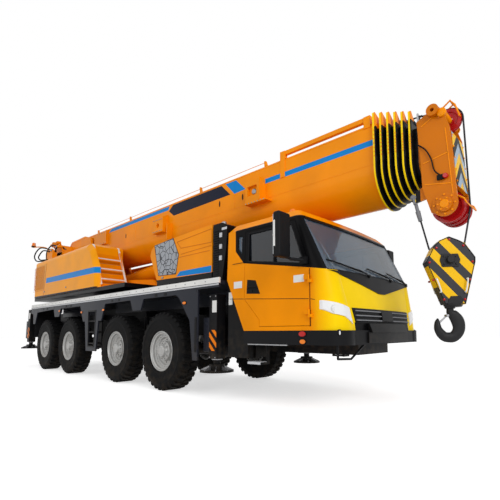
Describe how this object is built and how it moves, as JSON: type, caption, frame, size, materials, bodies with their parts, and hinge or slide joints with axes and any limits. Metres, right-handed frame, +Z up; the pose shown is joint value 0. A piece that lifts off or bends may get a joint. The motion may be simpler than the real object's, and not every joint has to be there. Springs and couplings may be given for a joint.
{
  "type": "mobile crane",
  "caption": "Four-axle mobile crane with a telescopic boom laid over the driver's cab and a striped hook block hanging ahead of it.",
  "frame": {"origin": "On the ground, under the middle of the crane's whole length and width.", "axes": "+X forward past the driver's cab, +Y to the driver's left, +Z up."},
  "size_m": [12.7025, 3.3, 4],
  "materials": {
    "body_paint": "glossy",
    "frame_paint": "satin",
    "wing_paint": "satin",
    "black_paint": "matte",
    "rim_paint": "satin",
    "tyre": "matte",
    "glass": "glossy",
    "lamp": "glossy",
    "black_plastic": "matte",
    "steel": "satin",
    "chrome": "polished",
    "sheave": "satin",
    "seat": "matte",
    "iron": "matte",
    "stripe_paint": "glossy",
    "badge_paint": "glossy",
    "white_paint": "satin",
    "hazard_paint": "satin",
    "amber_lamp": "glossy",
    "red_lamp": "glossy",
    "rope": "matte",
    "rubber": "matte",
    "mirror": "polished"
  },
  "bodies": {
    "carrier": {"chassis_frame": "frame_paint", "axles": "frame_paint", "outrigger_boxes": "frame_paint", "decks": "wing_paint", "engine": "iron", "engine_hood": "body_paint", "exhaust_tower": "black_paint", "cab_shell": "body_paint", "cab_glass": "glass", "cab_front": "black_plastic", "headlamps": "lamp", "cab_interior": "seat", "cab_steps": "black_paint"},
    "upper_structure": {"upper_frame": "body_paint", "side_housings": "body_paint", "winch": "steel", "operator_cab": "body_paint", "operator_cab_glass": "glass", "operator_seat": "seat"},
    "door_right": {"door_right": "body_paint", "mirror_right": "black_plastic"},
    "door_left": {"door_left": "body_paint", "mirror_left": "black_plastic"},
    "knuckle_1_right": {"knuckle_1_right": "frame_paint"},
    "wheel_1_right": {"wheel_1_right": "tyre"},
    "knuckle_1_left": {"knuckle_1_left": "frame_paint"},
    "wheel_1_left": {"wheel_1_left": "tyre"},
    "knuckle_2_right": {"knuckle_2_right": "frame_paint"},
    "wheel_2_right": {"wheel_2_right": "tyre"},
    "knuckle_2_left": {"knuckle_2_left": "frame_paint"},
    "wheel_2_left": {"wheel_2_left": "tyre"},
    "knuckle_3_right": {"knuckle_3_right": "frame_paint"},
    "wheel_3_right": {"wheel_3_right": "tyre"},
    "knuckle_3_left": {"knuckle_3_left": "frame_paint"},
    "wheel_3_left": {"wheel_3_left": "tyre"},
    "knuckle_4_right": {"knuckle_4_right": "frame_paint"},
    "wheel_4_right": {"wheel_4_right": "tyre"},
    "knuckle_4_left": {"knuckle_4_left": "frame_paint"},
    "wheel_4_left": {"wheel_4_left": "tyre"},
    "outrigger_beam_front_right": {"outrigger_beam_front_right": "frame_paint"},
    "outrigger_jack_front_right": {"outrigger_jack_front_right": "steel"},
    "outrigger_beam_front_left": {"outrigger_beam_front_left": "frame_paint"},
    "outrigger_jack_front_left": {"outrigger_jack_front_left": "steel"},
    "outrigger_beam_rear_right": {"outrigger_beam_rear_right": "frame_paint"},
    "outrigger_jack_rear_right": {"outrigger_jack_rear_right": "steel"},
    "outrigger_beam_rear_left": {"outrigger_beam_rear_left": "frame_paint"},
    "outrigger_jack_rear_left": {"outrigger_jack_rear_left": "steel"},
    "operator_door": {"operator_door": "body_paint"},
    "boom_base": {"boom_base": "body_paint"},
    "boom_section_1": {"boom_section_1": "body_paint"},
    "boom_section_2": {"boom_section_2": "body_paint"},
    "boom_section_3": {"boom_section_3": "body_paint"},
    "boom_section_4": {"boom_section_4": "body_paint"},
    "boom_section_5": {"boom_section_5": "body_paint"},
    "boom_section_6": {"boom_section_6": "body_paint", "head_sheaves": "sheave"},
    "hook_block": {"hook_block": "body_paint"},
    "hook": {"hook": "iron"},
    "luff_barrel": {"luff_cylinder_barrel": "body_paint"},
    "luff_rod": {"luff_cylinder_rod": "chrome"}
  },
  "joints": [
    {"name": "door_right_hinge", "type": "hinge", "parent": "carrier", "child": "door_right", "pos_m": [4.782, -1.3, 1.23], "axis": [0, 0, 1], "range_deg": [0, 70]},
    {"name": "door_left_hinge", "type": "hinge", "parent": "carrier", "child": "door_left", "pos_m": [4.782, 1.3, 1.23], "axis": [0, 0, -1], "range_deg": [0, 70]},
    {"name": "steer_1_right", "type": "hinge", "parent": "carrier", "child": "knuckle_1_right", "pos_m": [1.594, -1, 0.685], "axis": [0, 0, 1], "range_deg": [-30, 30]},
    {"name": "roll_1_right", "type": "hinge", "parent": "knuckle_1_right", "child": "wheel_1_right", "pos_m": [1.594, -1.17, 0.685], "axis": [0, 1, 0], "continuous": true},
    {"name": "steer_1_left", "type": "hinge", "parent": "carrier", "child": "knuckle_1_left", "pos_m": [1.594, 1, 0.685], "axis": [0, 0, 1], "range_deg": [-30, 30]},
    {"name": "roll_1_left", "type": "hinge", "parent": "knuckle_1_left", "child": "wheel_1_left", "pos_m": [1.594, 1.17, 0.685], "axis": [0, 1, 0], "continuous": true},
    {"name": "steer_2_right", "type": "hinge", "parent": "carrier", "child": "knuckle_2_right", "pos_m": [-0.106, -1, 0.685], "axis": [0, 0, 1], "range_deg": [-21.6, 21.6]},
    {"name": "roll_2_right", "type": "hinge", "parent": "knuckle_2_right", "child": "wheel_2_right", "pos_m": [-0.106, -1.17, 0.685], "axis": [0, 1, 0], "continuous": true},
    {"name": "steer_2_left", "type": "hinge", "parent": "carrier", "child": "knuckle_2_left", "pos_m": [-0.106, 1, 0.685], "axis": [0, 0, 1], "range_deg": [-21.6, 21.6]},
    {"name": "roll_2_left", "type": "hinge", "parent": "knuckle_2_left", "child": "wheel_2_left", "pos_m": [-0.106, 1.17, 0.685], "axis": [0, 1, 0], "continuous": true},
    {"name": "steer_3_right", "type": "hinge", "parent": "carrier", "child": "knuckle_3_right", "pos_m": [-2.611, -1, 0.685], "axis": [0, 0, 1], "range_deg": [-15.6, 15.6]},
    {"name": "roll_3_right", "type": "hinge", "parent": "knuckle_3_right", "child": "wheel_3_right", "pos_m": [-2.611, -1.17, 0.685], "axis": [0, 1, 0], "continuous": true},
    {"name": "steer_3_left", "type": "hinge", "parent": "carrier", "child": "knuckle_3_left", "pos_m": [-2.611, 1, 0.685], "axis": [0, 0, 1], "range_deg": [-15.6, 15.6]},
    {"name": "roll_3_left", "type": "hinge", "parent": "knuckle_3_left", "child": "wheel_3_left", "pos_m": [-2.611, 1.17, 0.685], "axis": [0, 1, 0], "continuous": true},
    {"name": "steer_4_right", "type": "hinge", "parent": "carrier", "child": "knuckle_4_right", "pos_m": [-4.286, -1, 0.685], "axis": [0, 0, 1], "range_deg": [-26, 26]},
    {"name": "roll_4_right", "type": "hinge", "parent": "knuckle_4_right", "child": "wheel_4_right", "pos_m": [-4.286, -1.17, 0.685], "axis": [0, 1, 0], "continuous": true},
    {"name": "steer_4_left", "type": "hinge", "parent": "carrier", "child": "knuckle_4_left", "pos_m": [-4.286, 1, 0.685], "axis": [0, 0, 1], "range_deg": [-26, 26]},
    {"name": "roll_4_left", "type": "hinge", "parent": "knuckle_4_left", "child": "wheel_4_left", "pos_m": [-4.286, 1.17, 0.685], "axis": [0, 1, 0], "continuous": true},
    {"name": "extend_front_right", "type": "slide", "parent": "carrier", "child": "outrigger_beam_front_right", "axis": [0, -1, 0], "range_m": [0, 1.65]},
    {"name": "lower_front_right", "type": "slide", "parent": "outrigger_beam_front_right", "child": "outrigger_jack_front_right", "axis": [0, 0, -1], "range_m": [0, 0.402]},
    {"name": "extend_front_left", "type": "slide", "parent": "carrier", "child": "outrigger_beam_front_left", "axis": [0, 1, 0], "range_m": [0, 1.65]},
    {"name": "lower_front_left", "type": "slide", "parent": "outrigger_beam_front_left", "child": "outrigger_jack_front_left", "axis": [0, 0, -1], "range_m": [0, 0.402]},
    {"name": "extend_rear_right", "type": "slide", "parent": "carrier", "child": "outrigger_beam_rear_right", "axis": [0, -1, 0], "range_m": [0, 1.65]},
    {"name": "lower_rear_right", "type": "slide", "parent": "outrigger_beam_rear_right", "child": "outrigger_jack_rear_right", "axis": [0, 0, -1], "range_m": [0, 0.53]},
    {"name": "extend_rear_left", "type": "slide", "parent": "carrier", "child": "outrigger_beam_rear_left", "axis": [0, 1, 0], "range_m": [0, 1.65]},
    {"name": "lower_rear_left", "type": "slide", "parent": "outrigger_beam_rear_left", "child": "outrigger_jack_rear_left", "axis": [0, 0, -1], "range_m": [0, 0.53]},
    {"name": "slew", "type": "hinge", "parent": "carrier", "child": "upper_structure", "pos_m": [-2.456, 0, 1.95], "axis": [0, 0, 1], "continuous": true},
    {"name": "operator_door_slide", "type": "slide", "parent": "upper_structure", "child": "operator_door", "axis": [-1, 0, 0], "range_m": [0, 0.7]},
    {"name": "boom_luff", "type": "hinge", "parent": "upper_structure", "child": "boom_base", "pos_m": [-4.456, 0, 3.35], "axis": [0, -1, 0], "range_deg": [0, 80]},
    {"name": "telescope_1", "type": "slide", "parent": "boom_base", "child": "boom_section_1", "axis": [1, 0, 0], "range_m": [0, 8.2]},
    {"name": "telescope_2", "type": "slide", "parent": "boom_section_1", "child": "boom_section_2", "axis": [1, 0, 0], "range_m": [0, 8.2]},
    {"name": "telescope_3", "type": "slide", "parent": "boom_section_2", "child": "boom_section_3", "axis": [1, 0, 0], "range_m": [0, 8.2]},
    {"name": "telescope_4", "type": "slide", "parent": "boom_section_3", "child": "boom_section_4", "axis": [1, 0, 0], "range_m": [0, 8.2]},
    {"name": "telescope_5", "type": "slide", "parent": "boom_section_4", "child": "boom_section_5", "axis": [1, 0, 0], "range_m": [0, 8.2]},
    {"name": "telescope_6", "type": "slide", "parent": "boom_section_5", "child": "boom_section_6", "axis": [1, 0, 0], "range_m": [0, 8.2]},
    {"name": "hook_block_hang", "type": "hinge", "parent": "boom_section_6", "child": "hook_block", "pos_m": [6.116, 0, 2.56], "axis": [0, 1, 0], "range_deg": [0, 80]},
    {"name": "hook_swivel", "type": "hinge", "parent": "hook_block", "child": "hook", "pos_m": [6.057, -0.10898, 1.34], "axis": [0, 0, 1], "continuous": true},
    {"name": "luff_barrel_turn", "type": "hinge", "parent": "upper_structure", "child": "luff_barrel", "pos_m": [-3.306, 0, 2.3], "axis": [0, -1, 0], "range_deg": [0, 81.01]},
    {"name": "luff_rod_slide", "type": "slide", "parent": "luff_barrel", "child": "luff_rod", "axis": [0.9966, 0, 0.0822], "range_m": [0, 2.002]}
  ],
  "couplings": [
    {"joint": "steer_1_left", "follows": "steer_1_right", "ratio": 1},
    {"joint": "steer_2_right", "follows": "steer_1_right", "ratio": 0.72},
    {"joint": "steer_2_left", "follows": "steer_1_right", "ratio": 0.72},
    {"joint": "steer_3_right", "follows": "steer_4_right", "ratio": 0.6},
    {"joint": "steer_3_left", "follows": "steer_4_right", "ratio": 0.6},
    {"joint": "steer_4_left", "follows": "steer_4_right", "ratio": 1},
    {"joint": "telescope_2", "follows": "telescope_1", "ratio": 1},
    {"joint": "telescope_3", "follows": "telescope_1", "ratio": 1},
    {"joint": "telescope_4", "follows": "telescope_1", "ratio": 1},
    {"joint": "telescope_5", "follows": "telescope_1", "ratio": 1},
    {"joint": "telescope_6", "follows": "telescope_1", "ratio": 1},
    {"joint": "hook_block_hang", "follows": "boom_luff", "ratio": 1},
    {"joint": "luff_barrel_turn", "follows": "boom_luff", "ratio": 1.012},
    {"joint": "luff_rod_slide", "follows": "boom_luff", "m_per_rad": 1.4326}
  ]
}
